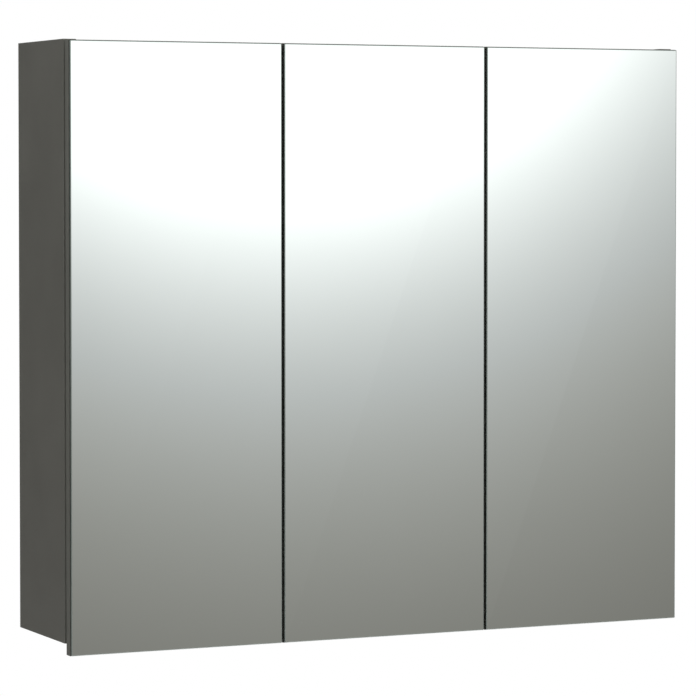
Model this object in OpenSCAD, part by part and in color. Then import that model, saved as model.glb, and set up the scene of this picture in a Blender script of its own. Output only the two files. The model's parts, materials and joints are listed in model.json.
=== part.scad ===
// Wall-hung medicine cabinet with three mirror doors.
// The origin is on the wall, midway between the four wall screws.
// +X runs to the viewer's right, +Y runs into the wall, +Z is up.

/* [Carcass] */
// Overall width over the two side panels
carcass_w = 800; // [780:5:860]
// Height of the side panels
carcass_h = 694; // [640:2:740]
// Depth of the side panels, from the wall to their front edge
carcass_d = 155; // [145:1:180]
// Thickness of the carcass boards
board_t = 16; // [15:0.5:18]
// Height of the carcass top above the line of the wall screws
hang_drop = 60; // [55:1:80]
// How far the top panel sits below the ends of the side panels
top_recess = 2; // [0:0.5:4]

/* [Back panel] */
// Thickness of the back panel
back_t = 3; // [2.5:0.5:4]
// Gap between the wall and the back panel
back_inset = 12; // [10:1:16]
// Depth of the grooves that hold the back panel
groove_depth = 6; // [4:0.5:7]

/* [Doors] */
// Gap between neighbouring door boards
door_gap = 2.5; // [2.5:0.1:4]
// How far the outer doors stop short of the carcass sides
door_inset = 1.5; // [1:0.1:2.5]
// How far the doors stop below the ends of the side panels
door_drop = 1.3; // [0:0.1:2]
// How far the doors reach below the carcass, as a finger grip
door_overhang = 13; // [8:0.5:20]
// Thickness of a door board
door_board_t = 12; // [12:0.5:14]
// Thickness of the mirror glass
mirror_t = 4; // [3:0.5:5]
// How far the mirror stops short of the door board's edges
mirror_inset = 0.5; // [0.3:0.1:1]
// Gap between the closed doors and the carcass
rear_gap = 1.5; // [1.4:0.1:2]

/* [Shelves] */
// Thickness of a glass shelf
shelf_t = 5; // [4:0.5:6]
// How far a shelf's front edge sits behind the carcass front
shelf_setback = 18; // [15:1:30]

/* [Hinges] */
// Distance from a door's top or bottom to a hinge's centre
hinge_end = 95; // [85:1:120]
// Bore for a hinge cup
cup_bore_d = 35; // [35:0.1:35.4]
// Board left between the door's edge and the cup's bore
cup_edge = 3; // [3:0.1:3.4]
// Distance from the carcass front to the screws of a mounting plate
plate_setback = 37; // [36:1:40]

/* [Hidden] */
$fn = 48;

// Colours
board_colour = [0.33, 0.33, 0.31];
mirror_colour = [0.80, 0.84, 0.83];
glass_colour = [0.75, 0.85, 0.83];
steel_colour = [0.72, 0.72, 0.74];
zinc_colour = [0.60, 0.61, 0.63];
plastic_colour = [0.85, 0.85, 0.84];
wood_colour = [0.80, 0.66, 0.45];

// Levels and planes of the carcass
top_z = hang_drop;
bottom_z = top_z - carcass_h;
front_y = -carcass_d;
top_panel_z = top_z - top_recess - board_t;
floor_z = bottom_z + board_t;
inner_h = top_panel_z - floor_z;
inner_x = carcass_w / 2 - board_t;
back_front_y = -back_inset - back_t;
edge_r = 1;
fit = 0.1;

// Doors: 0 is the left, 1 the middle and 2 the right one
door_w = (carcass_w - 2 * door_inset - 2 * door_gap) / 3;
door_pitch = door_w + door_gap;
door_top_z = top_z - door_drop;
door_bottom_z = bottom_z - door_overhang;
door_h = door_top_z - door_bottom_z;
door_back_y = front_y - rear_gap;
door_front_y = door_back_y - door_board_t;
face_y = door_front_y - mirror_t;

// The side that a door hangs on: -1 is its left and 1 its right
hinge_side = [-1, 1, 1];
hinge_z = [door_top_z - hinge_end, door_bottom_z + hinge_end];

// Partitions stand behind the gaps between the doors
partition_x = door_pitch / 2;
partition_d = carcass_d + back_front_y - fit;

// Compartments, as [low x, high x]
compartments = [
    [-inner_x, -partition_x - board_t / 2],
    [-partition_x + board_t / 2, partition_x - board_t / 2],
    [partition_x + board_t / 2, inner_x]
];

// Shelves and their pins
shelf_z = [floor_z + inner_h * 2 / 3, floor_z + inner_h / 3];
shelf_side_gap = 1;
shelf_back_gap = 2;
pin_r = 2.5;
pin_depth = 7;
pin_head_r = 3.5;
pin_head_l = 9;
pin_from_shelf_front = 18;
pin_from_back = 22;
pin_rows = [front_y + shelf_setback + pin_from_shelf_front, back_front_y - pin_from_back];

// Joinery between the sides and the top and bottom panels
cam_rows = [-115, -45];
dowel_rows = [-138, -28];
dowel_r = 4;
dowel_in_side = 10;
dowel_in_panel = 20;
bore_spare = 1;
cam_r = 7.5;
cam_depth = 12.5;
cam_from_end = 24;
cam_cross_half_l = 4.5;
cam_cross_half_w = 0.7;
cam_cross_depth = 2;
bolt_thread_r = 2.5;
bolt_thread_l = 11;
bolt_shank_r = 3;
bolt_bore_r = 3.5;
joint_z = [top_panel_z + board_t / 2, bottom_z + board_t / 2];
partition_dowel_rows = [-125, -40];
groove_spare = 0.5;

// Hangers, hooks and wall plates
hanger_w = 32;
hanger_d = 22;
hanger_low_z = -16;
hanger_high_z = top_panel_z - 2;
hanger_x = inner_x - hanger_w / 2;
hanger_wall = 3;
hook_w = 14;
hook_t = 3;
hook_z = 26;
hook_tip_z = 15;
hook_tip_t = 2;
hook_tip_gap = 0.3;
hook_opening = 2;
lip_back_y = -3.5;
lip_t = 2;
lip_low_z = 11;
wall_plate_w = 28;
wall_plate_t = 2;
wall_plate_z = [-15, 13];
wall_hole_r = 2.25;
wall_hole_z = 8;
hanger_screw_z = [-7, 11];
hanger_screw_y = back_front_y - hanger_d / 2;
hanger_web = 8;
hanger_screw_r = 2;
hanger_screw_l = 10;
hanger_head_r = 4;
hanger_head_t = 2.5;
hanger_head_play = 1;

// Hinges are drawn in their own frame: +X runs from the carcass edge into the
// cabinet, +Y runs towards the wall, and Z is 0 at mid-height. The door's back
// lies at a fixed Y there, so that the pins keep their places in the cup
hinge_back_y = 16;
cup_x = door_inset + cup_edge + cup_bore_d / 2;
cup_bore_depth = 10;
cup_r = cup_bore_d / 2 - fit;
cup_wall = 0.7;
cup_floor_t = 0.5;
cup_base_y = hinge_back_y - cup_bore_depth + fit;
cup_floor_y = cup_base_y + cup_floor_t;
cup_wing_half_w = 6;
cup_wing_t = 0.9;
cup_screw_z = 24;
cup_screw_x = cup_x + cup_wing_half_w;
cup_screw_r = 1.8;
cup_screw_l = 9;
cup_screw_head_r = 3.2;
cup_screw_head_t = 1.6;

// Link pins at rest: two in the arm and two in the cup
arm_pin_in = [30.5, 19.6];
arm_pin_out = [35.2, 8.9];
cup_pin_in = [10.7, 9.8];
cup_pin_out = [15.3, 12.2];
// Knees of the two bent links
inner_knee = [23.8, 8.4];
outer_knee = [25.2, 10.6];
// The outer link's slot for its cup pin: how far it runs and at what angle
slot_len = 3;
slot_angle = -34.3;
slot_mid = [16.5, 11.8];
slot_half_w = 1.5;
link_pin_r = 1;
link_play = 0.05;
link_half_w = 1.6;
eye_r = 2.2;
slot_wall = 1;
inner_link_half_z = 3;
// The arm's cheeks and the cup's ears hold the inner link between them, and
// the outer link's two cheeks run outside both
cheek_z = 3.2;
cheek_t = 1.3;
cheek_out_z = cheek_z + cheek_t;
outer_link_z = cheek_out_z + fit;
outer_link_out_z = outer_link_z + cheek_t;
ear_below_rim = 0.5;

// Arm and mounting plate
arm_web_t = 1.5;
arm_web_x = 33;
arm_front_y = 26;
arm_rear_y = 78;
arm_low_x = 25;
arm_neck = [arm_low_x + eye_r + 3, arm_front_y + 4];
plate_screw_y = hinge_back_y + rear_gap + plate_setback;
plate_screw_z = 16;
plate_screw_r = 1.8;
plate_screw_l = 13;
plate_head_r = 3.5;
plate_head_t = 2;
plate_wing_t = 2.5;
plate_wing_y = 12;
plate_wing_z = 46;
plate_rail_half_z = 3;
plate_rail_len = 44;
arm_screw_r = 2;
arm_screw_l = 8;
arm_screw_head_r = 3.4;
arm_screw_head_t = 2;

bumper_r = 5;
bumper_t = 1.3;
bumper_from_edge = 20;
mirror_arris = 0.5;
// How far a cut runs past the face that it opens
over = 1;

// ---- Helpers ----

// A cylinder along X, Y or Z between two places on that axis
module rod_x(r, low, high) {
    translate([low, 0, 0]) rotate([0, 90, 0]) cylinder(r = r, h = high - low);
}

module rod_y(r, low, high) {
    translate([0, low, 0]) rotate([-90, 0, 0]) cylinder(r = r, h = high - low);
}

module rod_z(r, low, high) {
    translate([0, 0, low]) cylinder(r = r, h = high - low);
}

// A box between two corners
module block(low, high) {
    translate(low) cube(high - low);
}

// A plan outline whose front corners are rounded
module rounded_front(w, d, r) {
    translate([0, r]) square([w, d - r]);
    translate([r, 0]) square([w - 2 * r, 2 * r]);
    translate([r, r]) circle(r);
    translate([w - r, r]) circle(r);
}

// Two mirrored copies about the middle plane
module both_sides() {
    children();
    mirror([1, 0, 0]) children();
}

// Copies above and below Z = 0
module above_and_below() {
    children();
    mirror([0, 0, 1]) children();
}

function door_x(i) = (i - 1) * door_pitch;

// Carries the hinge frame to the hinge side of door i at level z
module at_hinge(i, z) {
    side = hinge_side[i];
    translate([door_x(i) + side * (door_w / 2 + door_inset), door_back_y - hinge_back_y, z])
        mirror([side > 0 ? 1 : 0, 0, 0])
            children();
}

module at_hinges(i) {
    for (z = hinge_z) at_hinge(i, z) children();
}

// Where the inner face of the board that carries door i's hinges lies
function mount_x(i) = i == 1
    ? door_w / 2 + door_inset - (partition_x - board_t / 2)
    : board_t;

// A flat bar between two points with round ends
module bar(p, q, r) {
    d = q - p;
    translate(p) rotate(atan2(d[1], d[0])) translate([0, -r]) square([norm(d), 2 * r]);
    translate(p) circle(r);
    translate(q) circle(r);
}

// ---- Carcass ----

module hinge_screw_bores(i) {
    at_hinges(i)
        for (s = [-1, 1])
            translate([0, plate_screw_y, s * plate_screw_z])
                rod_x(plate_screw_r, mount_x(i) - plate_screw_l, mount_x(i) + fit);
}

module shelf_pin_bores(x, side) {
    for (z = shelf_z, y = pin_rows)
        translate([x, y, z - pin_head_r])
            rod_x(pin_r, side > 0 ? -fit : -pin_depth, side > 0 ? pin_depth : fit);
}

module side_panel(side) {
    door = side < 0 ? 0 : 2;
    color(board_colour) difference() {
        translate([side < 0 ? -carcass_w / 2 : inner_x, front_y, bottom_z])
            linear_extrude(carcass_h) rounded_front(board_t, carcass_d, edge_r);
        mirror([side < 0 ? 1 : 0, 0, 0]) {
            block([inner_x - fit, back_front_y - fit, bottom_z - fit],
                  [inner_x + groove_depth, -back_inset + fit, top_z + fit]);
            for (z = joint_z) {
                for (y = dowel_rows)
                    translate([0, y, z])
                        rod_x(dowel_r, inner_x - fit, inner_x + dowel_in_side + bore_spare);
                for (y = cam_rows)
                    translate([0, y, z])
                        rod_x(bolt_thread_r, inner_x - fit, inner_x + bolt_thread_l);
            }
            shelf_pin_bores(inner_x, 1);
            for (z = hanger_screw_z)
                translate([0, hanger_screw_y, z])
                    rod_x(hanger_screw_r, inner_x - fit, inner_x + hanger_screw_l);
        }
        hinge_screw_bores(door);
    }
}

// A top or bottom panel whose cams open on its outer face
module cross_panel(low_z, outer) {
    mid_z = low_z + board_t / 2;
    groove_z = outer > 0 ? low_z : low_z + board_t;
    color(board_colour) difference() {
        translate([-inner_x, front_y, low_z])
            cube([2 * inner_x, carcass_d, board_t]);
        block([-inner_x - fit, back_front_y - fit, groove_z - groove_depth],
              [inner_x + fit, -back_inset + fit, groove_z + groove_depth]);
        both_sides() {
            for (y = dowel_rows)
                translate([0, y, mid_z])
                    rod_x(dowel_r, inner_x - dowel_in_panel - bore_spare, inner_x + fit);
            for (y = cam_rows) {
                translate([0, y, mid_z])
                    rod_x(bolt_bore_r, inner_x - cam_from_end, inner_x + fit);
                translate([inner_x - cam_from_end, y, 0])
                    rod_z(cam_r, outer > 0 ? low_z + board_t - cam_depth : low_z - fit,
                          outer > 0 ? low_z + board_t + fit : low_z + cam_depth);
            }
            for (y = partition_dowel_rows)
                translate([partition_x, y, 0])
                    rod_z(dowel_r, outer > 0 ? low_z - fit : low_z + board_t - dowel_in_side - bore_spare,
                          outer > 0 ? low_z + dowel_in_side + bore_spare : low_z + board_t + fit);
        }
    }
}

module partition(side) {
    color(board_colour) difference() {
        translate([side * partition_x - board_t / 2, front_y, floor_z])
            cube([board_t, partition_d, inner_h]);
        for (y = partition_dowel_rows)
            translate([side * partition_x, y, 0]) {
                rod_z(dowel_r, floor_z - fit, floor_z + dowel_in_panel + bore_spare);
                rod_z(dowel_r, top_panel_z - dowel_in_panel - bore_spare, top_panel_z + fit);
            }
        shelf_pin_bores(side * partition_x - board_t / 2, 1);
        shelf_pin_bores(side * partition_x + board_t / 2, -1);
        if (side > 0) hinge_screw_bores(1);
    }
}

module back_panel() {
    overlap = groove_depth - groove_spare;
    color(board_colour) difference() {
        block([-inner_x - overlap, back_front_y, floor_z - overlap],
              [inner_x + overlap, -back_inset, top_panel_z + overlap]);
        both_sides()
            block([hanger_x - hook_w / 2 - hook_opening, back_front_y - fit,
                   hook_z - hook_opening],
                  [hanger_x + hook_w / 2 + hook_opening, -back_inset + fit,
                   hook_z + hook_t + hook_opening]);
    }
}

module glass_shelf(bay, level) {
    low = compartments[bay][0] + shelf_side_gap;
    high = compartments[bay][1] - shelf_side_gap;
    color(glass_colour, 0.5)
        block([low, front_y + shelf_setback, shelf_z[level]],
              [high, back_front_y - shelf_back_gap, shelf_z[level] + shelf_t]);
}

module shelf_pin(side) {
    rod_x(pin_r, side > 0 ? -pin_depth : -fit, side > 0 ? fit : pin_depth);
    rod_x(pin_head_r, side > 0 ? 0 : -pin_head_l, side > 0 ? pin_head_l : 0);
}

module shelf_pins() {
    color(steel_colour)
        for (bay = compartments, z = shelf_z, y = pin_rows) {
            translate([bay[0], y, z - pin_head_r]) shelf_pin(1);
            translate([bay[1], y, z - pin_head_r]) shelf_pin(-1);
        }
}

// ---- Joinery ----

// A cam lock with its screwdriver face down, as in the bottom panel
module cam_lock() {
    difference() {
        rod_z(cam_r, 0, cam_depth);
        translate([0, 0, board_t / 2]) rod_x(bolt_bore_r, -over, cam_r + over);
        for (a = [0, 90])
            rotate(a)
                block([-cam_cross_half_l, -cam_cross_half_w, -fit],
                      [cam_cross_half_l, cam_cross_half_w, cam_cross_depth]);
    }
}

module cam_locks() {
    color(zinc_colour) both_sides()
        for (y = cam_rows) {
            translate([inner_x - cam_from_end, y, bottom_z]) cam_lock();
            translate([inner_x - cam_from_end, y, top_panel_z + board_t])
                mirror([0, 0, 1]) cam_lock();
        }
}

module cam_bolts() {
    color(steel_colour) both_sides()
        for (y = cam_rows, z = joint_z)
            translate([0, y, z]) {
                rod_x(bolt_thread_r, inner_x, inner_x + bolt_thread_l);
                rod_x(bolt_shank_r, inner_x - cam_from_end, inner_x);
            }
}

module dowels() {
    color(wood_colour) {
        both_sides() {
            for (y = dowel_rows, z = joint_z)
                translate([0, y, z])
                    rod_x(dowel_r, inner_x - dowel_in_panel, inner_x + dowel_in_side);
            for (y = partition_dowel_rows, z = [floor_z, top_panel_z]) {
                into_board = z == floor_z ? dowel_in_panel : dowel_in_side;
                translate([partition_x, y, z])
                    rod_z(dowel_r, into_board - dowel_in_panel - dowel_in_side, into_board);
            }
        }
    }
}

module door_bumpers() {
    color(plastic_colour)
        for (i = [0:2], z = joint_z)
            translate([door_x(i) - hinge_side[i] * (door_w / 2 - bumper_from_edge), 0, z])
                rod_y(bumper_r, front_y - bumper_t, front_y);
}

// ---- Wall hanging ----

module hanger(side) {
    color(plastic_colour) mirror([side < 0 ? 1 : 0, 0, 0]) difference() {
        block([inner_x - hanger_w, back_front_y - hanger_d, hanger_low_z],
              [inner_x, back_front_y, hanger_high_z]);
        block([hanger_x - hook_w / 2 - fit, back_front_y - hanger_d + hanger_wall, hook_z - fit],
              [hanger_x + hook_w / 2 + fit, back_front_y + fit, hook_z + hook_t + fit]);
        for (z = hanger_screw_z)
            translate([0, hanger_screw_y, z]) {
                rod_x(hanger_screw_r, inner_x - hanger_w, inner_x + fit);
                rod_x(hanger_head_r + hanger_head_play, inner_x - hanger_w - fit,
                      inner_x - hanger_web);
            }
    }
}

module hanger_hooks() {
    tip_y = lip_back_y + hook_tip_gap;
    color(steel_colour) both_sides()
        translate([hanger_x - hook_w / 2, 0, 0]) {
            block([0, back_front_y - hanger_d + hanger_wall + over, hook_z],
                  [hook_w, tip_y + hook_tip_t, hook_z + hook_t]);
            block([0, tip_y, hook_tip_z], [hook_w, tip_y + hook_tip_t, hook_z + hook_t]);
        }
}

module hanger_screws() {
    color(steel_colour) both_sides()
        for (z = hanger_screw_z)
            translate([0, hanger_screw_y, z]) {
                rod_x(hanger_screw_r, inner_x - hanger_web, inner_x + hanger_screw_l);
                rod_x(hanger_head_r, inner_x - hanger_web - hanger_head_t, inner_x - hanger_web);
            }
}

module wall_plate(side) {
    low_x = side * hanger_x - wall_plate_w / 2;
    high_x = low_x + wall_plate_w;
    lip_front_y = lip_back_y - lip_t;
    color(steel_colour) difference() {
        union() {
            block([low_x, -wall_plate_t, wall_plate_z[0]], [high_x, 0, wall_plate_z[1]]);
            block([low_x, lip_front_y, lip_low_z], [high_x, 0, wall_plate_z[1]]);
            block([low_x, lip_front_y, lip_low_z], [high_x, lip_back_y, hook_z]);
        }
        for (s = [-1, 1])
            translate([side * hanger_x, 0, s * wall_hole_z])
                rod_y(wall_hole_r, -wall_plate_t - fit, fit);
    }
}

// ---- Hinges ----

module arm_outline() {
    bar(arm_pin_in, arm_pin_out, eye_r);
    bar(arm_pin_in, arm_neck, eye_r);
    translate([arm_low_x, arm_front_y])
        square([arm_web_x + arm_web_t - arm_low_x, arm_rear_y - arm_front_y]);
}

module hinge_arm(i, level) {
    color(steel_colour) at_hinge(i, hinge_z[level]) difference() {
        union() {
            above_and_below()
                translate([0, 0, cheek_z]) linear_extrude(cheek_t) arm_outline();
            block([arm_web_x, arm_front_y, -cheek_z],
                  [arm_web_x + arm_web_t, arm_rear_y, cheek_z]);
        }
        for (p = [arm_pin_in, arm_pin_out])
            translate(p) rod_z(link_pin_r, -cheek_out_z - over, cheek_out_z + over);
        translate([0, plate_screw_y, 0])
            rod_x(arm_screw_r, arm_web_x - over, arm_web_x + arm_web_t + over);
    }
}

// Mounting plate: two wings screwed to the board and a rail that the arm straddles
module hinge_plate(base_x) {
    difference() {
        union() {
            block([base_x, plate_screw_y - plate_wing_y / 2, -plate_wing_z / 2],
                  [base_x + plate_wing_t, plate_screw_y + plate_wing_y / 2, plate_wing_z / 2]);
            block([base_x, plate_screw_y - plate_rail_len / 2, -plate_rail_half_z],
                  [arm_web_x, plate_screw_y + plate_rail_len / 2, plate_rail_half_z]);
        }
        for (s = [-1, 1])
            translate([0, plate_screw_y, s * plate_screw_z])
                rod_x(plate_screw_r, base_x - over, base_x + plate_wing_t + over);
        translate([0, plate_screw_y, 0])
            rod_x(arm_screw_r, arm_web_x - arm_screw_l, arm_web_x + over);
    }
}

module hinge_plates(i) {
    color(steel_colour) at_hinges(i) hinge_plate(mount_x(i));
}

module hinge_plate_screws() {
    color(zinc_colour)
        for (i = [0:2])
            at_hinges(i)
                for (s = [-1, 1])
                    translate([mount_x(i), plate_screw_y, s * plate_screw_z]) {
                        rod_x(plate_screw_r, -plate_screw_l, plate_wing_t);
                        rod_x(plate_head_r, plate_wing_t, plate_wing_t + plate_head_t);
                    }
}

module hinge_arm_screws() {
    head_x = arm_web_x + arm_web_t;
    color(zinc_colour)
        for (i = [0:2])
            at_hinges(i)
                translate([0, plate_screw_y, 0]) {
                    rod_x(arm_screw_r, arm_web_x - arm_screw_l, head_x);
                    rod_x(arm_screw_head_r, head_x, head_x + arm_screw_head_t);
                }
}

// A pin right through the inner link, and two stubs that carry the outer link
module link_pins(through, stubs) {
    translate(through) rod_z(link_pin_r, -cheek_out_z, cheek_out_z);
    above_and_below()
        translate(stubs) rod_z(link_pin_r, cheek_z, outer_link_out_z);
}

module hinge_arm_pins() {
    color(zinc_colour)
        for (i = [0:2])
            at_hinges(i) link_pins(arm_pin_in, arm_pin_out);
}

module inner_links(i) {
    color(steel_colour) at_hinges(i) difference() {
        translate([0, 0, -inner_link_half_z]) linear_extrude(2 * inner_link_half_z) {
            bar(arm_pin_in, inner_knee, link_half_w);
            bar(inner_knee, cup_pin_in, link_half_w);
            translate(arm_pin_in) circle(eye_r);
            translate(cup_pin_in) circle(eye_r);
        }
        for (p = [arm_pin_in, cup_pin_in])
            translate(p)
                rod_z(link_pin_r + link_play, -inner_link_half_z - over, inner_link_half_z + over);
    }
}

module outer_links(i) {
    slot_dir = [cos(slot_angle), sin(slot_angle)] * slot_len / 2;
    color(steel_colour) at_hinges(i) above_and_below()
        translate([0, 0, outer_link_z]) linear_extrude(cheek_t) difference() {
            union() {
                bar(arm_pin_out, outer_knee, link_half_w);
                bar(outer_knee, slot_mid, link_half_w);
                translate(arm_pin_out) circle(eye_r);
                bar(slot_mid - slot_dir, slot_mid + slot_dir, slot_half_w + slot_wall);
            }
            translate(arm_pin_out) circle(link_pin_r + link_play);
            bar(slot_mid - slot_dir, slot_mid + slot_dir, slot_half_w);
        }
}

// ---- Doors ----

module door_panel(i) {
    color(board_colour) difference() {
        translate([door_x(i) - door_w / 2, door_front_y, door_bottom_z])
            cube([door_w, door_board_t, door_h]);
        at_hinges(i) {
            translate([cup_x, 0, 0])
                rod_y(cup_bore_d / 2, hinge_back_y - cup_bore_depth, hinge_back_y + fit);
            for (s = [-1, 1])
                translate([cup_screw_x, 0, s * cup_screw_z])
                    rod_y(cup_screw_r, hinge_back_y - cup_screw_l, hinge_back_y + fit);
        }
    }
}

module mirror_glass(i) {
    w = door_w - 2 * mirror_inset;
    h = door_h - 2 * mirror_inset;
    arris = mirror_arris;
    color(mirror_colour)
        translate([door_x(i), face_y, (door_top_z + door_bottom_z) / 2])
            intersection() {
                translate([0, 0, -h / 2]) linear_extrude(h)
                    polygon([[-w / 2, mirror_t], [-w / 2, arris], [-w / 2 + arris, 0],
                             [w / 2 - arris, 0], [w / 2, arris], [w / 2, mirror_t]]);
                rotate([90, 0, 90]) translate([0, 0, -w / 2]) linear_extrude(w)
                    polygon([[mirror_t, -h / 2], [arris, -h / 2], [0, -h / 2 + arris],
                             [0, h / 2 - arris], [arris, h / 2], [mirror_t, h / 2]]);
            }
}

module hinge_cup(i, level) {
    color(steel_colour) at_hinge(i, hinge_z[level]) difference() {
        union() {
            difference() {
                union() {
                    translate([cup_x, 0, 0]) rod_y(cup_r, cup_base_y, hinge_back_y);
                    block([cup_screw_x - cup_wing_half_w, hinge_back_y,
                           -cup_screw_z - cup_wing_half_w],
                          [cup_screw_x + cup_wing_half_w, hinge_back_y + cup_wing_t,
                           cup_screw_z + cup_wing_half_w]);
                }
                translate([cup_x, 0, 0])
                    rod_y(cup_r - cup_wall, cup_floor_y, hinge_back_y + cup_wing_t + fit);
            }
            above_and_below()
                block([cup_pin_in[0] - eye_r, cup_floor_y, cheek_z],
                      [cup_pin_out[0] + eye_r, hinge_back_y - ear_below_rim, cheek_out_z]);
        }
        for (p = [cup_pin_in, cup_pin_out])
            translate(p) rod_z(link_pin_r, -cheek_out_z - over, cheek_out_z + over);
        for (s = [-1, 1])
            translate([cup_screw_x, 0, s * cup_screw_z])
                rod_y(cup_screw_r, hinge_back_y - over, hinge_back_y + cup_wing_t + over);
    }
}

module cup_screws(i) {
    head_y = hinge_back_y + cup_wing_t;
    color(zinc_colour) at_hinges(i)
        for (s = [-1, 1])
            translate([cup_screw_x, 0, s * cup_screw_z]) {
                rod_y(cup_screw_r, hinge_back_y - cup_screw_l, head_y);
                rod_y(cup_screw_head_r, head_y, head_y + cup_screw_head_t);
            }
}

module cup_pins(i) {
    color(zinc_colour) at_hinges(i) link_pins(cup_pin_in, cup_pin_out);
}

side_panel(-1);  // left_side
side_panel(1);  // right_side
cross_panel(top_panel_z, 1);  // top_panel
cross_panel(bottom_z, -1);  // bottom_panel
partition(-1);  // left_partition
partition(1);  // right_partition
back_panel();
glass_shelf(0, 0);  // left_upper_shelf
glass_shelf(0, 1);  // left_lower_shelf
glass_shelf(1, 0);  // middle_upper_shelf
glass_shelf(1, 1);  // middle_lower_shelf
glass_shelf(2, 0);  // right_upper_shelf
glass_shelf(2, 1);  // right_lower_shelf
shelf_pins();
cam_locks();
cam_bolts();
dowels();
door_bumpers();
hanger(-1);  // left_hanger
hanger(1);  // right_hanger
hanger_hooks();
hanger_screws();
wall_plate(-1);  // left_wall_plate
wall_plate(1);  // right_wall_plate
hinge_arm(0, 0);  // left_upper_arm
hinge_arm(0, 1);  // left_lower_arm
hinge_arm(1, 0);  // middle_upper_arm
hinge_arm(1, 1);  // middle_lower_arm
hinge_arm(2, 0);  // right_upper_arm
hinge_arm(2, 1);  // right_lower_arm
hinge_plates(0);  // left_hinge_plates
hinge_plates(1);  // middle_hinge_plates
hinge_plates(2);  // right_hinge_plates
hinge_plate_screws();
hinge_arm_screws();
hinge_arm_pins();
inner_links(0);  // left_inner_links
inner_links(1);  // middle_inner_links
inner_links(2);  // right_inner_links
outer_links(0);  // left_outer_links
outer_links(1);  // middle_outer_links
outer_links(2);  // right_outer_links
door_panel(0);  // left_door_panel
mirror_glass(0);  // left_mirror
hinge_cup(0, 0);  // left_upper_cup
hinge_cup(0, 1);  // left_lower_cup
cup_screws(0);  // left_cup_screws
cup_pins(0);  // left_cup_pins
door_panel(1);  // middle_door_panel
mirror_glass(1);  // middle_mirror
hinge_cup(1, 0);  // middle_upper_cup
hinge_cup(1, 1);  // middle_lower_cup
cup_screws(1);  // middle_cup_screws
cup_pins(1);  // middle_cup_pins
door_panel(2);  // right_door_panel
mirror_glass(2);  // right_mirror
hinge_cup(2, 0);  // right_upper_cup
hinge_cup(2, 1);  // right_lower_cup
cup_screws(2);  // right_cup_screws
cup_pins(2);  // right_cup_pins
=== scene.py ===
"""The looks of a wall-hung medicine cabinet with three mirror doors, around its CAD frame."""
import json
import math

import bmesh
import bpy
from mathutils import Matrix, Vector


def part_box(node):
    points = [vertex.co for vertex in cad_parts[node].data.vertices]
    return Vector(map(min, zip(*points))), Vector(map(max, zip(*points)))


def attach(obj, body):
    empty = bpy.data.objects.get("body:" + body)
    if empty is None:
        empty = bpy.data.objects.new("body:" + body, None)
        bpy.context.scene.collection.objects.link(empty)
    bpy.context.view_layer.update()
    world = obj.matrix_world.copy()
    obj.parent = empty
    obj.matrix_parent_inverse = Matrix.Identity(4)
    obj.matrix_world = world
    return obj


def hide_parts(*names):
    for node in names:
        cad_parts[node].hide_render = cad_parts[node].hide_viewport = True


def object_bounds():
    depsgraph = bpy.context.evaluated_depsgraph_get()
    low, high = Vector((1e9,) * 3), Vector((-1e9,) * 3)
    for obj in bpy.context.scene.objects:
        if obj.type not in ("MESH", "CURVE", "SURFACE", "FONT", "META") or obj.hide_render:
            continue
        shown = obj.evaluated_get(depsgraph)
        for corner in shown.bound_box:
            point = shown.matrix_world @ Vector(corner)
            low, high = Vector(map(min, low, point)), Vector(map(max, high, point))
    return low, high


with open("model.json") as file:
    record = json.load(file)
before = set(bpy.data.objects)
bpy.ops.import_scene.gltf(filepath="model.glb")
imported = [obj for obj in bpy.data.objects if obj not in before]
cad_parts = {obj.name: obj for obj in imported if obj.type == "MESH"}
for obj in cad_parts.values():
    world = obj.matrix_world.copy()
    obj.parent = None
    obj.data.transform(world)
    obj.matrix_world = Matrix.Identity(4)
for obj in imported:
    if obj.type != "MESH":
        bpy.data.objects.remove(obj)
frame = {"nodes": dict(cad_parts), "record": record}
cad_box = [list(corner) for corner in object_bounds()]

MM = 0.001
DOORS = ("left", "middle", "right")
NODES = frame["nodes"]
BODY_OF = {
    node: body
    for body, members in frame["record"]["behaviour"]["bodies"].items()
    for node in members
}


# ---- Camera, surroundings and light ----

# The camera stands 4.2 m from the cabinet, to its left and 0.2 m above its middle
EYE = (-1.7208, -3.7954, -0.0906)
YAW = math.radians(24.763)
TILT = math.radians(1.95)
LENS = 174.41
SHIFT = -0.09

camera_data = bpy.data.cameras.new("camera")
camera_data.lens = LENS
camera_data.sensor_width = 36
camera_data.shift_y = SHIFT
camera_data.clip_end = 100
camera = bpy.data.objects.new("camera", camera_data)
camera.location = EYE
camera.rotation_euler = (math.pi / 2 - TILT, 0, -YAW)
bpy.context.scene.collection.objects.link(camera)
bpy.context.scene.camera = camera

bpy.context.scene.view_settings.view_transform = "Standard"


class Graph:
    """A node tree with short ways to add and join its nodes."""

    def __init__(self, tree):
        self.tree = tree

    def add(self, kind, inputs=None, **settings):
        node = self.tree.nodes.new(kind)
        for name, value in settings.items():
            setattr(node, name, value)
        for name, value in (inputs or {}).items():
            self.put(node.inputs[name], value)
        return node

    def put(self, socket, value):
        if isinstance(value, bpy.types.NodeSocket):
            self.tree.links.new(value, socket)
        else:
            socket.default_value = value

    def math(self, operation, *values):
        node = self.add("ShaderNodeMath", operation=operation)
        for socket, value in zip(node.inputs, values):
            self.put(socket, value)
        return node.outputs[0]

    def range(self, value, low, high, to_low=0.0, to_high=1.0, kind="LINEAR"):
        """Maps low..high onto to_low..to_high and holds the value at both ends."""
        return self.add("ShaderNodeMapRange", {
            "Value": value, "From Min": low, "From Max": high, "To Min": to_low, "To Max": to_high,
        }, interpolation_type=kind).outputs["Result"]

    def mix(self, factor, a, b):
        node = self.add("ShaderNodeMix", data_type="RGBA")
        self.put(node.inputs["Factor"], factor)
        self.put(node.inputs["A"], a)
        self.put(node.inputs["B"], b)
        return node.outputs["Result"]


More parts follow.
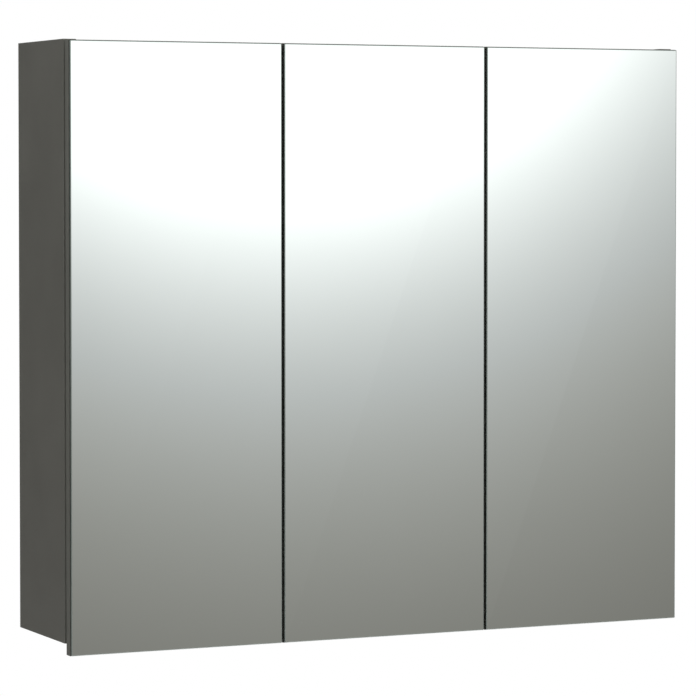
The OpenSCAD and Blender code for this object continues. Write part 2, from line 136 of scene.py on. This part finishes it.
def colour(red, green, blue):
    """An sRGB colour from 0 to 255 as linear values."""
    def linear(v):
        v /= 255
        return v / 12.92 if v <= 0.04045 else ((v + 0.055) / 1.055) ** 2.4
    return (linear(red), linear(green), linear(blue), 1.0)


# Soft boxes stand in a ring round the cabinet, RING_STEP apart. Each is brightest at its
# centre, BOX_HEIGHT above eye level, and fades aside and downwards: to a half at BOX_SPREAD
# radians below the centre, or BOX_WIDTH times that aside, the faster the higher BOX_EDGE is.
# Upwards they widen, and they have merged at MERGE_HEIGHT
RING_STEP = math.radians(24)
RING_TURN = math.radians(-0.43)
BOX_HEIGHT = math.radians(7.67)
MERGE_HEIGHT = math.radians(50)
BOX_SPREAD = 0.1186
BOX_WIDTH = 0.895
BOX_EDGE = 3.62
BOX_LIGHT = 3.30
# A mirror is only just white at the brightest, so that thin dark lines beside it survive
BOX_LIMIT = 1.10
ROOM_LIGHT = 0.0767
# The light turns from greenish to bluish white as it gets brighter
TINT_FROM, TINT_TO = 0.2, 0.5
DIM_TINT = (0.99, 1.0, 0.905, 1)
BRIGHT_TINT = (0.947, 1.0, 0.98, 1)
# The ceiling and the room behind the cabinet are dimmer. Matt surfaces see a share of it all
CEILING = (math.radians(8), math.radians(35))
CEILING_LIGHT = 0.30
BEHIND = (math.radians(80), math.radians(125))
BEHIND_LIGHT = 0.32
MATT_SHARE = 0.20
# Far below eye level the room takes the tone of the floor
LOW_ROOM = (math.radians(-9), math.radians(-15))
LOW_ROOM_LIGHT = 0.70
BACKDROP = (1, 1, 1, 1)


def make_world():
    """The room that surfaces reflect. The camera itself sees a white backdrop."""
    world = bpy.data.worlds.new("studio")
    bpy.context.scene.world = world
    world.use_nodes = True
    tree = world.node_tree
    tree.nodes.clear()
    g = Graph(tree)
    way = g.add("ShaderNodeTexCoord").outputs["Generated"]
    axes = g.add("ShaderNodeSeparateXYZ", {"Vector": way}).outputs
    azimuth = g.math("ARCTAN2", axes["X"], g.math("MULTIPLY", axes["Y"], -1.0))
    height = g.math("ARCSINE", axes["Z"])
    turned = g.math("SUBTRACT", azimuth, RING_TURN)
    aside = g.math("WRAP", turned, RING_STEP / 2, -RING_STEP / 2)
    merge = g.range(height, BOX_HEIGHT, MERGE_HEIGHT, 1 / BOX_WIDTH, 0.0, "SMOOTHSTEP")
    across = g.math("MULTIPLY", aside, merge)
    below = g.math("MINIMUM", g.math("SUBTRACT", height, BOX_HEIGHT), 0.0)
    off = g.math("SQRT", g.math("ADD", g.math("POWER", across, 2.0), g.math("POWER", below, 2.0)))
    fade = g.math("POWER", g.math("DIVIDE", off, BOX_SPREAD), BOX_EDGE)
    glow = g.math("DIVIDE", BOX_LIGHT, g.math("ADD", fade, 1.0))
    ground = g.range(height, *LOW_ROOM, ROOM_LIGHT, LOW_ROOM_LIGHT, "SMOOTHSTEP")
    light = g.math("MINIMUM", g.math("ADD", glow, ground), BOX_LIMIT)
    tint = g.mix(g.range(light, TINT_FROM, TINT_TO), DIM_TINT, BRIGHT_TINT)
    path = g.add("ShaderNodeLightPath").outputs
    behind = g.range(g.math("ABSOLUTE", azimuth), *BEHIND, 1.0, BEHIND_LIGHT, "SMOOTHSTEP")
    matt = g.math("SUBTRACT", 1.0, g.math("MULTIPLY", path["Is Diffuse Ray"], 1 - MATT_SHARE))
    ceiling = g.range(height, *CEILING, 1.0, CEILING_LIGHT, "SMOOTHSTEP")
    share = g.math("MULTIPLY", g.math("MULTIPLY", behind, ceiling), matt)
    level = g.math("MULTIPLY", light, share)
    soft = g.add("ShaderNodeBackground", {"Color": tint, "Strength": level})
    backdrop = g.add("ShaderNodeBackground", {"Color": BACKDROP, "Strength": 1.0})
    shown = g.add("ShaderNodeMixShader", {
        0: path["Is Camera Ray"], 1: soft.outputs[0], 2: backdrop.outputs[0]})
    g.add("ShaderNodeOutputWorld", {"Surface": shown.outputs[0]})


make_world()


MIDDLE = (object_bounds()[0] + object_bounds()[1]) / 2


def add_light(name, place, size, watts):
    """A square soft light that faces the cabinet and that no mirror shows."""
    data = bpy.data.lights.new(name, "AREA")
    data.shape = "SQUARE"
    data.size = size
    data.energy = watts
    lamp = bpy.data.objects.new(name, data)
    lamp.location = place
    lamp.rotation_euler = (MIDDLE - Vector(place)).to_track_quat("-Z", "Y").to_euler()
    lamp.visible_glossy = False
    bpy.context.scene.collection.objects.link(lamp)


add_light("key", (-3.4, -1.5, 2.3), 1.6, 124)
add_light("fill", (2.4, -3.3, 0.8), 2.0, 110)
add_light("right", (3.8, 0.3, 1.2), 2.0, 55)
add_light("top", (0.2, -1.0, 3.2), 2.0, 82)
add_light("back", (0.6, 3.6, 1.2), 2.4, 92)


# ---- Materials ----

# Parts of a noise's range: most of its values, and the middle half of them
MOST = (0.3, 0.7)
CORE = (0.35, 0.65)


def new_material(name, **values):
    """A Principled material whose plain values sit on the shader's own sockets."""
    material = bpy.data.materials.new(name)
    material.use_nodes = True
    g = Graph(material.node_tree)
    shader = material.node_tree.nodes["Principled BSDF"]
    for key, value in values.items():
        shader.inputs[key.replace("_", " ")].default_value = value
    place = g.add("ShaderNodeTexCoord").outputs["Object"]
    return material, g, shader, place


def noise(g, place, size, detail=3.0, roughness=0.55, squeeze=None):
    """Noise whose features are about size metres across. squeeze scales it along each axis,
    so a value below 1 draws the features out."""
    if squeeze:
        place = g.add("ShaderNodeMapping", {"Vector": place, "Scale": squeeze}).outputs[0]
    return g.add("ShaderNodeTexNoise", {
        "Vector": place, "Scale": 1 / size, "Detail": detail, "Roughness": roughness,
    }).outputs["Fac"]


def bump(g, shader, height, depth):
    """Raises the surface by up to depth metres where height is 1."""
    node = g.add("ShaderNodeBump", {"Height": height, "Distance": depth})
    g.put(shader.inputs["Normal"], node.outputs[0])


def blend(g, one, two, share):
    """Two noises mixed, with share of the second."""
    return g.math("ADD", g.math("MULTIPLY", one, 1 - share), g.math("MULTIPLY", two, share))


def melamine(name, light, dark, rough, pearl_depth):
    """Satin melamine or edge band: a fine pearl texture and faint cloudy tone changes."""
    material, g, shader, place = new_material(name, Specular_IOR_Level=0.20)
    cloud = noise(g, place, 0.09, 2.0)
    pearl = noise(g, place, 0.0009, 2.0)
    tone = blend(g, cloud, pearl, 0.4)
    g.put(shader.inputs["Base Color"], g.mix(g.range(tone, *CORE), dark, light))
    g.put(shader.inputs["Roughness"], g.range(pearl, *MOST, rough - 0.05, rough + 0.05))
    bump(g, shader, pearl, pearl_depth)
    return material


BOARD = melamine("board_face", colour(87, 86, 81), colour(81, 80, 75), 0.50, 0.00004)
BAND = melamine("board_edge", colour(90, 90, 85), colour(85, 85, 80), 0.40, 0.00002)


def make_mirror_face():
    """Silver seen through polished glass, with barely visible haze."""
    material, g, shader, place = new_material("mirror_silver", Metallic=1.0)
    haze = noise(g, place, 0.12, 4.0, 0.6)
    tone = g.mix(g.range(haze, *MOST), (0.985, 0.992, 0.988, 1), (0.995, 1.0, 0.998, 1))
    g.put(shader.inputs["Base Color"], tone)
    g.put(shader.inputs["Roughness"], g.range(haze, 0.35, 0.75, 0.006, 0.022))
    return material


def make_arris():
    """The ground arris round a mirror's face, duller and greyer than the face."""
    material, g, shader, place = new_material("mirror_arris", Metallic=1.0)
    grit = noise(g, place, 0.0003, 3.0)
    g.put(shader.inputs["Base Color"], g.mix(
        g.range(grit, *MOST), (0.31, 0.34, 0.32, 1), (0.39, 0.42, 0.40, 1)))
    g.put(shader.inputs["Roughness"], g.range(grit, *MOST, 0.24, 0.34))
    return material


def make_glass_edge():
    """The ground and polished edge of float glass, with faint streaks along it."""
    material, g, shader, place = new_material(
        "glass_edge", Specular_IOR_Level=0.30, IOR=1.52, Coat_Weight=0.10, Coat_Roughness=0.08)
    streak = noise(g, place, 0.0008, 3.0, 0.6, (1.0, 2.0, 0.03))
    cloud = noise(g, place, 0.03, 2.0)
    tone = blend(g, streak, cloud, 0.4)
    g.put(shader.inputs["Base Color"], g.mix(
        g.range(tone, *CORE), colour(38, 45, 41), colour(48, 55, 50)))
    g.put(shader.inputs["Roughness"], g.range(streak, *MOST, 0.22, 0.38))
    bump(g, shader, streak, 0.00002)
    return material


def make_mirror_back():
    """Grey protective paint on a mirror's back."""
    material, g, shader, place = new_material("mirror_back_paint")
    speck = noise(g, place, 0.0015, 3.0)
    g.put(shader.inputs["Base Color"], g.mix(
        g.range(speck, *CORE), colour(120, 122, 124), colour(134, 136, 138)))
    g.put(shader.inputs["Roughness"], g.range(speck, *MOST, 0.45, 0.6))
    bump(g, shader, speck, 0.00003)
    return material


MIRROR = [make_mirror_face(), make_glass_edge(), make_mirror_back(), make_arris()]


def metal(name, light, dark, rough, grain, squeeze=None):
    """Plated or pressed metal with cloudy reflections and a fine drawn grain."""
    material, g, shader, place = new_material(name, Metallic=1.0)
    cloud = noise(g, place, 0.012, 3.0)
    fine = noise(g, place, grain, 4.0, 0.6, squeeze)
    tone = blend(g, cloud, fine, 0.5)
    g.put(shader.inputs["Base Color"], g.mix(g.range(tone, *CORE), dark, light))
    g.put(shader.inputs["Roughness"], g.range(fine, *MOST, rough - 0.07, rough + 0.07))
    bump(g, shader, fine, 0.00003)
    return material


NICKEL = metal(
    "nickel_plate", (0.72, 0.70, 0.67, 1), (0.60, 0.58, 0.55, 1), 0.27, 0.0012, (1, 0.25, 1))
ZINC = metal("zinc_plate", (0.66, 0.68, 0.70, 1), (0.50, 0.52, 0.54, 1), 0.33, 0.0006)
CAM_ZINC = metal("die_cast_zinc", (0.56, 0.56, 0.55, 1), (0.42, 0.42, 0.41, 1), 0.45, 0.0008)
GALVANISED = metal("galvanised_sheet", (0.70, 0.71, 0.72, 1), (0.48, 0.50, 0.52, 1), 0.38, 0.0035)


def make_shelf_glass():
    """Clear float glass, barely green, with a trace of dust."""
    material, g, shader, place = new_material("clear_glass", IOR=1.5, Transmission_Weight=1.0)
    dust = noise(g, place, 0.004, 4.0, 0.6)
    g.put(shader.inputs["Base Color"], g.mix(
        g.range(dust, *MOST), (0.955, 0.985, 0.970, 1), (0.985, 1.0, 0.992, 1)))
    g.put(shader.inputs["Roughness"], g.range(dust, 0.4, 0.8, 0.0, 0.05))
    return material


def make_shelf_edge():
    """The polished edge of a glass shelf, green because it is seen through the glass's depth."""
    material, g, shader, place = new_material(
        "green_glass_edge", IOR=1.5, Transmission_Weight=0.45)
    streak = noise(g, place, 0.003, 3.0, 0.6, (0.08, 0.08, 6.0))
    g.put(shader.inputs["Base Color"], g.mix(
        g.range(streak, *MOST), colour(96, 148, 128), colour(140, 190, 170)))
    g.put(shader.inputs["Roughness"], g.range(streak, *MOST, 0.08, 0.2))
    bump(g, shader, streak, 0.00002)
    return material


def moulded(name, light, dark, rough, **values):
    """Moulded plastic with a fine spark-eroded texture."""
    material, g, shader, place = new_material(name, **values)
    spark = noise(g, place, 0.0005, 3.0)
    cloud = noise(g, place, 0.02, 2.0)
    tone = blend(g, spark, cloud, 0.6)
    g.put(shader.inputs["Base Color"], g.mix(g.range(tone, *CORE), dark, light))
    g.put(shader.inputs["Roughness"], g.range(spark, *MOST, rough - 0.06, rough + 0.06))
    bump(g, shader, spark, 0.00004)
    return material


HANGER = moulded("hanger_plastic", colour(212, 212, 209), colour(200, 200, 197), 0.42)
BUMPER = moulded("bumper_rubber", colour(226, 228, 226), colour(206, 209, 207), 0.30,
                 Transmission_Weight=0.55, IOR=1.45)


def make_beech():
    """Beech dowel: grain stretched along the dowel, with small dark flecks."""
    material, g, shader, place = new_material("beech", Specular_IOR_Level=0.3)
    grain = noise(g, place, 0.0012, 5.0, 0.6, (0.12, 1.0, 1.0))
    fleck = noise(g, place, 0.0007, 2.0, 0.5, (0.3, 1.0, 1.0))
    wood = g.mix(g.range(grain, *MOST), colour(196, 154, 108), colour(222, 186, 142))
    g.put(shader.inputs["Base Color"], g.mix(
        g.range(fleck, 0.62, 0.72), wood, colour(150, 106, 68)))
    g.put(shader.inputs["Roughness"], g.range(grain, *MOST, 0.55, 0.7))
    bump(g, shader, grain, 0.00008)
    return material


def make_raw_fibreboard():
    """The unpainted back of hardboard: brown fibres, drawn out a little, and faint clouds."""
    material, g, shader, place = new_material("raw_fibreboard", Specular_IOR_Level=0.2)
    fibre = noise(g, place, 0.0022, 6.0, 0.7, (1.0, 1.0, 0.45))
    cloud = noise(g, place, 0.03, 4.0, 0.7)
    tone = blend(g, fibre, cloud, 0.25)
    g.put(shader.inputs["Base Color"], g.mix(
        g.range(tone, *CORE), colour(112, 84, 60), colour(150, 120, 90)))
    g.put(shader.inputs["Roughness"], g.range(fibre, *MOST, 0.75, 0.9))
    bump(g, shader, fibre, 0.00015)
    return material


BEECH = make_beech()
FIBREBOARD = make_raw_fibreboard()


# ---- Mesh helpers ----

# Corners closer than WELD are one, faces closer to level than FLAT are one face, and a point
# closer to a plane than TOUCH lies on it
WELD = 0.002 * MM
FLAT = math.radians(0.2)
TOUCH = 0.01 * MM


def cad_copy(node):
    """A CAD node's shape with its split corners joined and its flat areas made whole."""
    bm = bmesh.new()
    bm.from_mesh(NODES[node].data)
    bmesh.ops.remove_doubles(bm, verts=bm.verts, dist=WELD)
    bmesh.ops.dissolve_limit(bm, angle_limit=FLAT, verts=bm.verts, edges=bm.edges)
    return bm


def piece(name, bm, materials, body, replaces, bevel=0.0, segments=2, sharp=40):
    """Makes an object from a bmesh, rounds the edges sharper than sharp degrees by bevel, and
    puts it on its CAD body in the place of the CAD nodes in replaces."""
    mesh = bpy.data.meshes.new(name)
    bm.normal_update()
    for face in bm.faces:
        face.smooth = True
    for edge in bm.edges:
        edge.smooth = len(edge.link_faces) == 2 and edge.calc_face_angle() < math.radians(sharp)
    bm.to_mesh(mesh)
    bm.free()
    for material in materials:
        mesh.materials.append(material)
    obj = bpy.data.objects.new(name, mesh)
    bpy.context.scene.collection.objects.link(obj)
    if bevel:
        rounding = obj.modifiers.new("rounding", "BEVEL")
        rounding.width = bevel
        rounding.segments = segments
        rounding.limit_method = "ANGLE"
        rounding.angle_limit = math.radians(sharp)
        rounding.use_clamp_overlap = True
    flatten = obj.modifiers.new("flatten", "WEIGHTED_NORMAL")
    flatten.keep_sharp = True
    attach(obj, body)
    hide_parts(*replaces)


# ---- Boards ----

BAND_T = 1.0 * MM
EDGE_SOFTNESS = 0.35 * MM
CUT_SNAP = 0.0001 * MM


def board(node, banded, name):
    """A board with 1 mm edge band on the box faces named in banded, such as "-y" or "+z"."""
    bm = cad_copy(node)
    low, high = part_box(node)
    cuts = []
    for side in banded:
        axis = "xyz".index(side[1])
        sign = 1 if side[0] == "+" else -1
        edge = (high if sign > 0 else low)[axis]
        cuts.append((axis, sign, edge - sign * BAND_T))
    for axis, sign, level in cuts:
        normal = Vector((0, 0, 0))
        normal[axis] = 1
        point = Vector((0, 0, 0))
        point[axis] = level
        geometry = bm.verts[:] + bm.edges[:] + bm.faces[:]
        bmesh.ops.bisect_plane(bm, geom=geometry, dist=CUT_SNAP, plane_co=point, plane_no=normal)
    for face in bm.faces:
        middle = face.calc_center_median()
        if any(sign * (middle[axis] - level) > 0 for axis, sign, level in cuts):
            face.material_index = 1
    planes = [(axis, corner[axis]) for axis in range(3) for corner in (low, high)]

    def on(vertex, plane):
        return abs(vertex.co[plane[0]] - plane[1]) < TOUCH

    rims = [
        edge for edge in bm.edges
        if sum(all(on(v, plane) for v in edge.verts) for plane in planes) >= 2
    ]
    bmesh.ops.bevel(
        bm, geom=rims, offset=EDGE_SOFTNESS, segments=2, profile=0.5, affect="EDGES",
        clamp_overlap=True)
    piece(name, bm, [BOARD, BAND], BODY_OF[node], [node])


board("left_side", ["-y", "+y", "-z", "+z"], "left_side_board")
board("right_side", ["-y", "+y", "-z", "+z"], "right_side_board")
board("top_panel", ["-y"], "top_board")
board("bottom_panel", ["-y"], "bottom_board")
board("left_partition", ["-y"], "left_partition_board")
board("right_partition", ["-y"], "right_partition_board")
for door in DOORS:
    board(f"{door}_door_panel", ["-x", "+x", "-z", "+z"], f"{door}_door_board")


# ---- Mirrors ----

# An arris is given as its width on the face and on the edge
MIRROR_ARRIS = (1.0 * MM, 0.5 * MM)
BACK_ARRIS = (0.3 * MM, 0.3 * MM)
CORNER_R = 0.8 * MM
CORNER_STEPS = 4


def rounded_outline(low, high, radius, steps):
    """A rectangle with round corners between the points low and high, anticlockwise."""
    left, bottom = low[0] + radius, low[1] + radius
    right, top = high[0] - radius, high[1] - radius
    points = []
    for x, y, start in ((right, bottom, -90), (right, top, 0), (left, top, 90), (left, bottom, 180)):
        for i in range(steps + 1):
            a = math.radians(start + 90 * i / steps)
            points.append((x + radius * math.cos(a), y + radius * math.sin(a)))
    return points


def glass_plate(low, high, axis, front_arris, back_arris, radius):
    """A plate between two corners, thin along axis, with an arris round each face. Material 0
    is the low face, 1 the edge, 2 the high face and 3 the arris of the low face."""
    flat = [i for i in range(3) if i != axis]
    bm = bmesh.new()
    rings = []
    levels = (
        (low[axis], front_arris[0]), (low[axis] + front_arris[1], 0),
        (high[axis] - back_arris[1], 0), (high[axis], back_arris[0]),
    )
    for level, inset in levels:
        outline = rounded_outline(
            (low[flat[0]] + inset, low[flat[1]] + inset),
            (high[flat[0]] - inset, high[flat[1]] - inset), radius, CORNER_STEPS)
        ring = []
        for a, b in outline:
            place = [0.0, 0.0, 0.0]
            place[axis], place[flat[0]], place[flat[1]] = level, a, b
            ring.append(bm.verts.new(place))
        rings.append(ring)
    bm.faces.new(rings[0]).material_index = 0
    bm.faces.new(reversed(rings[-1])).material_index = 2
    count = len(rings[0])
    for level, (one, two) in enumerate(zip(rings, rings[1:])):
        for i in range(count):
            j = (i + 1) % count
            bm.faces.new((one[j], one[i], two[i], two[j])).material_index = 1 if level else 3
    bmesh.ops.recalc_face_normals(bm, faces=bm.faces)
    return bm


for door in DOORS:
    low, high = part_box(f"{door}_mirror")
    plate = glass_plate(low, high, 1, MIRROR_ARRIS, BACK_ARRIS, CORNER_R)
    piece(f"{door}_mirror_glass", plate, MIRROR, f"{door}_door",
          [f"{door}_mirror"], sharp=30)


# ---- Glass shelves ----

SHELF_ARRIS = (0.6 * MM, 0.6 * MM)
SHELF_CORNER_R = 2.0 * MM
SHELF_GLASS = [make_shelf_glass(), make_shelf_edge()]

for bay in DOORS:
    for level in ("upper", "lower"):
        low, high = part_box(f"{bay}_{level}_shelf")
        plate = glass_plate(low, high, 2, SHELF_ARRIS, SHELF_ARRIS, SHELF_CORNER_R)
        for face in plate.faces:
            face.material_index = 1 if face.material_index in (1, 3) else 0
        piece(f"{bay}_{level}_glass_shelf", plate, SHELF_GLASS, "cabinet",
              [f"{bay}_{level}_shelf"], sharp=30)


# ---- Back panel ----

def make_back():
    """Board finish towards the compartments, raw fibreboard towards the wall."""
    bm = cad_copy("back_panel")
    high_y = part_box("back_panel")[1][1]
    for face in bm.faces:
        face.material_index = 1 if abs(face.calc_center_median()[1] - high_y) < TOUCH else 0
    piece("back_sheet", bm, [BOARD, FIBREBOARD], "cabinet", ["back_panel"],
          bevel=0.2 * MM)


make_back()


# ---- Pressed, turned and moulded hardware ----

def softened(node, material, softness, name, segments=2):
    """A CAD part with its sharp edges softened."""
    piece(name, cad_copy(node), [material], BODY_OF[node], [node],
          bevel=softness, segments=segments)


for door in DOORS:
    for level in ("upper", "lower"):
        hinge = f"{door}_{level}"
        softened(f"{hinge}_arm", NICKEL, 0.25 * MM, f"{hinge}_hinge_arm")
        softened(f"{hinge}_cup", NICKEL, 0.18 * MM, f"{hinge}_hinge_cup")
    softened(f"{door}_hinge_plates", NICKEL, 0.5 * MM, f"{door}_mounting_plates", 3)
    softened(f"{door}_inner_links", NICKEL, 0.25 * MM, f"{door}_inner_hinge_links")
    softened(f"{door}_outer_links", NICKEL, 0.2 * MM, f"{door}_outer_hinge_links")
    softened(f"{door}_cup_pins", ZINC, 0.2 * MM, f"{door}_cup_rivets")
softened("hinge_arm_pins", ZINC, 0.2 * MM, "arm_rivets")
softened("shelf_pins", NICKEL, 0.5 * MM, "shelf_supports", 3)
softened("cam_locks", CAM_ZINC, 0.25 * MM, "cam_fittings")
softened("cam_bolts", ZINC, 0.3 * MM, "cam_dowels")
softened("dowels", BEECH, 0.6 * MM, "wooden_dowels")
softened("hanger_hooks", GALVANISED, 0.3 * MM, "hanger_hook_bars")
for side in ("left", "right"):
    softened(f"{side}_hanger", HANGER, 0.8 * MM, f"{side}_hanger_box", 3)
    softened(f"{side}_wall_plate", GALVANISED, 0.3 * MM, f"{side}_wall_bracket")


# ---- Screws ----

TURN_STEPS = 48
THREAD_PITCH = 1.2 * MM
# The rest of a screw's shape is in shares of its own radii, lengths and thread pitch
THREAD_ROOT = 0.8
THREAD_CREST = 0.45
NECK_LENGTH = 0.02
TIP_R = 0.5
TIP_LENGTH = 0.6
THREAD_START = 0.7
HEAD_FOOT_R = 0.94
HEAD_FOOT_H = 0.06
HEAD_RIM_H = 0.45
# Radii of the rings of points on the head's dome, closer together where the recess begins
DOME_RINGS = (0.95, 0.86, 0.72, 0.60, 0.56, 0.46, 0.36, 0.26, 0.17, 0.14, 0.08, 0)
RECESS_HALF_WIDTH = 0.16
RECESS_REACH = 0.58
RECESS_DEPTH = 0.62
RECESS_SLOPE = 1.6


def islands(node):
    """The corner points of each separate solid of a CAD node."""
    bm = cad_copy(node)
    found = []
    for start in bm.verts:
        if start.tag:
            continue
        start.tag = True
        stack, group = [start], []
        while stack:
            vertex = stack.pop()
            group.append(vertex.co.copy())
            for edge in vertex.link_edges:
                other = edge.other_vert(vertex)
                if not other.tag:
                    other.tag = True
                    stack.append(other)
        found.append(group)
    bm.free()
    return found


def lathe(bm, place, profile, recess=None):
    """Turns (radius, height) points about an axis. place(x, y, height) puts a point in the
    model, and recess(x, y), if there is one, is how much lower a point above height 0 lies."""
    rings = []
    for radius, height in profile:
        ring = []
        for i in range(TURN_STEPS if radius else 1):
            a = 2 * math.pi * i / TURN_STEPS
            x, y = radius * math.cos(a), radius * math.sin(a)
            drop = recess(x, y) if recess and height > 0 else 0
            ring.append(bm.verts.new(place(x, y, height - drop)))
        rings.append(ring)
    for one, two in zip(rings, rings[1:]):
        for i in range(TURN_STEPS):
            j = (i + 1) % TURN_STEPS
            if len(one) == 1:
                bm.faces.new((one[0], two[i], two[j]))
            elif len(two) == 1:
                bm.faces.new((one[i], two[0], one[j]))
            else:
                bm.faces.new((one[i], two[i], two[j], one[j]))


def screw(bm, points, axis):
    """A cross-recessed pan-head screw in the place of the plain CAD one that has these points
    and lies along axis. Its heights start at the underside of the head."""
    flat = [i for i in range(3) if i != axis]
    middle = [(min(p[i] for p in points) + max(p[i] for p in points)) / 2 for i in range(3)]

    def reach(point):
        return math.hypot(point[flat[0]] - middle[flat[0]], point[flat[1]] - middle[flat[1]])

    head_r = max(map(reach, points))
    shank_r = min(map(reach, points))
    head = [p[axis] for p in points if reach(p) > (head_r + shank_r) / 2]
    levels = [p[axis] for p in points]
    sign = 1 if max(head) == max(levels) else -1
    base = min(head) if sign > 0 else max(head)
    top = max(head) - min(head)
    length = max(levels) - min(levels) - top

    def place(x, y, height):
        out = [0.0, 0.0, 0.0]
        out[axis] = base + sign * height
        out[flat[0]] = middle[flat[0]] + x
        out[flat[1]] = middle[flat[1]] + y
        return out

    def recess(x, y):
        across, along = sorted((abs(x), abs(y)))
        reach_share = along / (RECESS_REACH * head_r)
        if across > RECESS_HALF_WIDTH * head_r or reach_share > 1:
            return 0.0
        return RECESS_DEPTH * top * min(1.0, RECESS_SLOPE * (1 - reach_share))

    profile = [(0, -length), (TIP_R * shank_r, -length + TIP_LENGTH * shank_r)]
    for i in range(int((length - shank_r) / THREAD_PITCH)):
        level = -length + THREAD_START * shank_r + i * THREAD_PITCH
        profile += [(THREAD_ROOT * shank_r, level), (shank_r, level + THREAD_CREST * THREAD_PITCH)]
    profile += [
        (THREAD_ROOT * shank_r, -NECK_LENGTH * length), (HEAD_FOOT_R * head_r, 0.0),
        (head_r, HEAD_FOOT_H * top), (head_r, HEAD_RIM_H * top),
    ]
    for share in DOME_RINGS:
        rise = (1 - HEAD_RIM_H) * math.sqrt(1 - share ** 2)
        profile.append((share * head_r, top * (HEAD_RIM_H + rise)))
    lathe(bm, place, profile, recess)


def screws(node, axis, name):
    bm = bmesh.new()
    for points in islands(node):
        screw(bm, points, axis)
    bmesh.ops.recalc_face_normals(bm, faces=bm.faces)
    piece(name, bm, [ZINC], BODY_OF[node], [node], sharp=35)


screws("hinge_plate_screws", 0, "plate_screws")
screws("hinge_arm_screws", 0, "arm_fixing_screws")
screws("hanger_screws", 0, "hanger_box_screws")
for door in DOORS:
    screws(f"{door}_cup_screws", 1, f"{door}_cup_fixing_screws")


# ---- Door bumpers ----

BUMPER_RIM = 0.12
BUMPER_STEPS = 8


def make_bumpers():
    """Soft domes on the carcass. A rim takes BUMPER_RIM of their height."""
    bm = bmesh.new()
    for points in islands("door_bumpers"):
        low = [min(p[i] for p in points) for i in range(3)]
        high = [max(p[i] for p in points) for i in range(3)]
        radius, height = (high[0] - low[0]) / 2, high[1] - low[1]
        centre = ((low[0] + high[0]) / 2, (low[2] + high[2]) / 2)

        def place(x, y, level):
            return (centre[0] + x, high[1] - level, centre[1] + y)

        dome = [(0, 0), (radius, 0), (radius, BUMPER_RIM * height)]
        for i in range(1, BUMPER_STEPS):
            a = math.radians(90 * i / BUMPER_STEPS)
            rise = (1 - BUMPER_RIM) * math.sin(a)
            dome.append((radius * math.cos(a), height * (BUMPER_RIM + rise)))
        dome.append((0, height))
        lathe(bm, place, dome)
    bmesh.ops.recalc_face_normals(bm, faces=bm.faces)
    piece("bumper_dots", bm, [BUMPER], "cabinet", ["door_bumpers"])


make_bumpers()


# ---- Floor ----

FLOOR_DROP = 1.2
FLOOR_R = 6.5
# The floor glows a little, more so towards its rim, which melts into the backdrop
FLOOR_GLOW = (0.05, 0.50)
GLOW_FROM = 1.5


def make_floor():
    """A pale disc below the cabinet."""
    bm = bmesh.new()
    bmesh.ops.create_circle(bm, cap_ends=True, segments=128, radius=FLOOR_R)
    mesh = bpy.data.meshes.new("floor")
    bm.to_mesh(mesh)
    bm.free()
    floor = bpy.data.objects.new("floor", mesh)
    floor.location = (0, 0, cad_box[0][2] - FLOOR_DROP)
    bpy.context.scene.collection.objects.link(floor)
    material, g, shader, place = new_material(
        "floor_paint", Roughness=0.7, Emission_Color=(1, 1, 1, 1))
    grain = noise(g, place, 0.02, 3.0)
    g.put(shader.inputs["Base Color"], g.mix(
        g.range(grain, *MOST), (0.62, 0.61, 0.61, 1), (0.66, 0.65, 0.65, 1)))
    reach = g.add("ShaderNodeVectorMath", {0: place}, operation="LENGTH").outputs["Value"]
    glow = g.range(reach, GLOW_FROM, FLOOR_R, *FLOOR_GLOW, "SMOOTHSTEP")
    g.put(shader.inputs["Emission Strength"], glow)
    mesh.materials.append(material)


make_floor()
